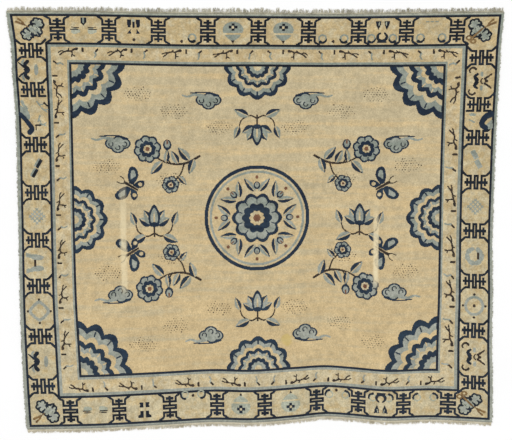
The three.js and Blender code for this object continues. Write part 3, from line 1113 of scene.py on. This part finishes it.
# Edges of the sheet: the axis across each, the share of the sheet where it lies, and the way out of the sheet
EDGES = {"left": (0, 0.0, -1), "right": (0, 1.0, 1), "top": (1, 0.0, 1), "bottom": (1, 1.0, -1)}
WEB_STEPS = 1100
WEB_TOP = np.array((0.0, 1.9, 2.5, 2.3, 2.5, 2.2, 2.4, 1.7, 0.0)) * MM  # heights across the web
WEAVE = 0.35 * MM
YARNS_AN_END = 2300
LOCKS_AN_END = 210
YARN_STEPS = 7
YARN_RADIUS = 0.75 * MM
YARN_SIDES = 3
LOCK_REACHES = (0.6, 1.15)  # from lock to lock, as shares of the fringe's length
YARN_REACHES = (0.75, 1.1)  # and from yarn to yarn in a lock
LOCK_LEAN = 7  # how far aside the tips of a lock come, at most
YARN_LEAN = 3.5  # how much the yarns of a lock spread
YARN_WAVES = (0.2, 1.6)
YARN_TIP = 1.1  # height of the tips
YARN_FALL = 1.6  # from the web down to the tips
YARN_LIFT = 2.2  # in the middle of a yarn, at most
TIP_TAPER = 0.55  # how much thinner a yarn's tip is, as a share


def beside(edge, share, out):
    """Points beside an edge of the sheet, out metres from it, at shares of its length."""
    axis, level, outward = EDGES[edge]
    level = np.full_like(share, level)
    places = on_rug(share, level) if axis else on_rug(level, share)
    places[:, axis] += outward * out
    return places


def end_web(end, material):
    """The flat woven strip past the last row of knots."""
    across = np.linspace(0.001, 0.999, WEB_STEPS)
    rows = len(WEB_TOP)
    weave = WEAVE * (-1.0) ** np.add.outer(np.arange(WEB_STEPS) // 2, np.arange(rows))
    height = WEB_TOP + weave * (WEB_TOP > 0)
    rings = np.empty((WEB_STEPS, rows, 3))
    for row in range(rows):
        out = (SEAM_GAP + WEB_WIDTH[end] * row / (rows - 1)) * MM
        rings[:, row, :2] = beside(end, across, out)
        rings[:, row, 2] = height[:, row]
    walls = tube_walls(1, WEB_STEPS, rows)
    if end == "bottom":
        walls = walls[:, ::-1]
    return new_piece(f"web_{end}", rings.reshape(-1, 3), walls, [material])


def fringe_yarns(end, material, chance):
    """Cut warp ends that leave the web in leaning locks, each yarn with a wave of its own."""
    share = np.sort(chance.uniform(0.002, 0.998, YARNS_AN_END))
    lock = (share * LOCKS_AN_END).astype(int)
    lock_lean = chance.uniform(-1, 1, LOCKS_AN_END)[lock]
    lock_reach = chance.uniform(*LOCK_REACHES, LOCKS_AN_END)[lock]
    reach = smooth_between(FRINGE_ROWS, "across", end, share) * FRINGE_LENGTH[end] * lock_reach * MM
    reach *= chance.uniform(*YARN_REACHES, YARNS_AN_END)
    t = np.linspace(0, 1, YARN_STEPS)
    start = FRINGE_START[end] * MM
    out = start + np.outer(reach + (SEAM_GAP + WEB_WIDTH[end]) * MM - start, t)
    lean = (LOCK_LEAN * lock_lean + chance.normal(0, YARN_LEAN, YARNS_AN_END)) * MM
    wave = chance.uniform(*YARN_WAVES, YARNS_AN_END) * MM
    phase = chance.uniform(0, 2 * np.pi, YARNS_AN_END)
    aside = np.outer(lean, t**1.5) + wave[:, None] * np.sin(phase[:, None] + 5 * t) * t
    paths = np.empty((YARNS_AN_END, YARN_STEPS, 3))
    for step in range(YARN_STEPS):
        paths[:, step, :2] = beside(end, share, out[:, step])
    paths[:, :, 0] += aside
    lift = chance.uniform(0, YARN_LIFT, YARNS_AN_END) * MM
    paths[:, :, 2] = YARN_TIP * MM + YARN_FALL * MM * (1 - t) + lift[:, None] * np.sin(np.pi * t) ** 2
    radii = YARN_RADIUS * np.outer(chance.uniform(0.7, 1.2, YARNS_AN_END), 1 - TIP_TAPER * t**3)
    return new_piece(f"fringe_{end}_yarns", *tubes(paths, radii, YARN_SIDES), [material])


# The overcast sides, in millimetres
CORD_INSET = 1.6
CORD_RADIUS = 3.2
WRAP_PITCH = 3.4
CORD_STEPS = 2400
CORD_SIDES = 8
CORD_LIFT = 1.2  # of its lower side off the floor
CORD_LUMPS = 260  # along a side
CORD_SWELL = 0.14  # of the lumps and of the wraps, as a share of the radius
CORD_WANDER = 1.3
FUZZ_A_SIDE = 1500
TUFTS_A_SIDE = 240
TUFT_SPREAD = 0.0012  # of its ends, as a share of the side
FUZZ_STEPS = 4
TUFT_LENGTHS = (1.5, 6.5)
FUZZ_HEIGHTS = (1.8, 6.0)
FUZZ_RADII = (0.5, 1.1)


def overcast_cord(side, material, chance):
    """The outer warps of a side, wrapped round and round with wool, lumpy where the wrapping is loose."""
    along = np.linspace(0.0, 1.0, CORD_STEPS)
    lump_places = np.linspace(0, 1, CORD_LUMPS)
    lumps = np.interp(along, lump_places, chance.normal(0, 1, CORD_LUMPS).clip(-1.5, 2))
    wander = np.interp(along, lump_places, chance.normal(0, CORD_WANDER, CORD_LUMPS).clip(-2.4, 2.4))
    wraps = np.abs(np.sin(np.pi * along * LENGTH / (WRAP_PITCH * MM)))
    radii = CORD_RADIUS * (1 - CORD_SWELL + CORD_SWELL * lumps + CORD_SWELL * wraps) * MM
    path = np.column_stack((beside(side, along, -(CORD_INSET + wander) * MM), radii + CORD_LIFT * MM))
    return new_piece(f"overcast_{side}", *tubes(path[None], radii[None], CORD_SIDES), [material])


def side_fuzz(side, material, chance):
    """Loose wool ends that stand out of the overcast sides in tufts."""
    tuft = chance.integers(0, TUFTS_A_SIDE, FUZZ_A_SIDE)
    tuft_place = chance.uniform(0.002, 0.998, TUFTS_A_SIDE)
    along = (tuft_place[tuft] + chance.normal(0, TUFT_SPREAD, FUZZ_A_SIDE)).clip(0, 1)
    t = np.linspace(0, 1, FUZZ_STEPS)
    length = (chance.uniform(*TUFT_LENGTHS, TUFTS_A_SIDE)[tuft] + chance.uniform(0, 2.0, FUZZ_A_SIDE)) * MM
    lean = (chance.normal(0, 2.5, TUFTS_A_SIDE)[tuft] + chance.normal(0, 2.0, FUZZ_A_SIDE)) * MM
    paths = np.empty((FUZZ_A_SIDE, FUZZ_STEPS, 3))
    for step, share in enumerate(t):
        paths[:, step, :2] = beside(side, along, length * share)
    paths[:, :, 1] += np.outer(lean, t**1.4)
    paths[:, :, 2] = chance.uniform(*FUZZ_HEIGHTS, FUZZ_A_SIDE)[:, None] * MM * (1 - 0.5 * t)
    radii = np.outer(chance.uniform(*FUZZ_RADII, FUZZ_A_SIDE), 1 - TIP_TAPER * t) * MM
    return new_piece(f"fuzz_{side}", *tubes(paths, radii, YARN_SIDES), [material])


FLOOR_SIZE = 80.0
FLOOR_TONES = ((250, 250, 250), (254, 254, 254))
SKY_STRENGTH = 0.75
SUN_STRENGTH = 1.1
SUN_SPREAD = 40  # degrees, which softens its shadows
SUN_TURN = (38, 0, 28)
SEED = 7
PHOTO_WIDTH = 2.867  # of the floor that the picture shows, across
CAMERA_HEIGHT = 8.0
SENSOR = 36.0  # millimetres
AIM = np.array((-0.0011, -0.014))  # from the middle of the plan to the middle of the picture


def pale_floor():
    half = FLOOR_SIZE / 2
    corners = np.array(((-half, -half, 0), (half, -half, 0), (half, half, 0), (-half, half, 0)))
    shader = Shader("floor")
    place = shader.node("ShaderNodeTexCoord", {}, "Object")
    grain = shader.node("ShaderNodeTexNoise", {"Vector": place, "Scale": 3.0, "Detail": 3.0})
    colour = shader.mix(grain, *[linear(tone) for tone in FLOOR_TONES])
    shader.put(shader.surface.inputs["Base Color"], colour)
    shader.surface.inputs["Roughness"].default_value = 0.95
    shader.surface.inputs["Specular IOR Level"].default_value = 0.0
    new_piece("floor", corners, np.array(((0, 1, 2, 3),)), [shader.material])


def soft_light():
    world = bpy.data.worlds.new("studio")
    world.use_nodes = True
    sky = world.node_tree.nodes["Background"].inputs
    sky["Color"].default_value = (1.0, 1.0, 1.0, 1.0)
    sky["Strength"].default_value = SKY_STRENGTH
    bpy.context.scene.world = world
    sun = bpy.data.lights.new("window", "SUN")
    sun.energy = SUN_STRENGTH
    sun.angle = np.radians(SUN_SPREAD)
    lamp = bpy.data.objects.new("window", sun)
    lamp.rotation_euler = np.radians(SUN_TURN)
    bpy.context.collection.objects.link(lamp)


def camera_above():
    data = bpy.data.cameras.new("camera")
    data.sensor_width = SENSOR
    data.lens = SENSOR * (CAMERA_HEIGHT - THICKNESS) / PHOTO_WIDTH
    data.clip_end = 100.0
    camera = bpy.data.objects.new("camera", data)
    camera.location = (*(CENTRING + AIM), CAMERA_HEIGHT)
    bpy.context.collection.objects.link(camera)
    bpy.context.scene.camera = camera


def build():
    chance = np.random.default_rng(SEED)
    knots = knotted_frames()
    knot_border(knots)
    knot_guard(knots, chance)
    knot_field(knots, chance)
    wools = [dyed_wool(name, *yarn) for name, yarn in YARNS.items()]
    overcast = bare_cotton("overcast_wool", (182, 183, 166), (160, 160, 140))
    cotton = {
        # The top web and fringe: darker brown-grey in patches, which is dirt and also painted shade between
        # the yarns
        "top": bare_cotton("soiled_and_shaded_cotton", (204, 199, 177), (158, 153, 132)),
        "bottom": bare_cotton("faded_cotton", (218, 210, 188), (190, 180, 154)),
    }
    pile = dress(rug_pile(knots, wools), "pile_wool", "rug_body")
    for side in ("left", "right"):
        dress(overcast_cord(side, overcast, chance), "pile_wool")
        dress(side_fuzz(side, overcast, chance), "pile_wool")
    for end in ("top", "bottom"):
        dress(end_web(end, cotton[end]), "warp_cotton", f"fringe_{end}")
        dress(fringe_yarns(end, cotton[end], chance), "warp_cotton")


build()
pale_floor()
soft_light()
camera_above()
bpy.context.scene.view_settings.view_transform = "Standard"
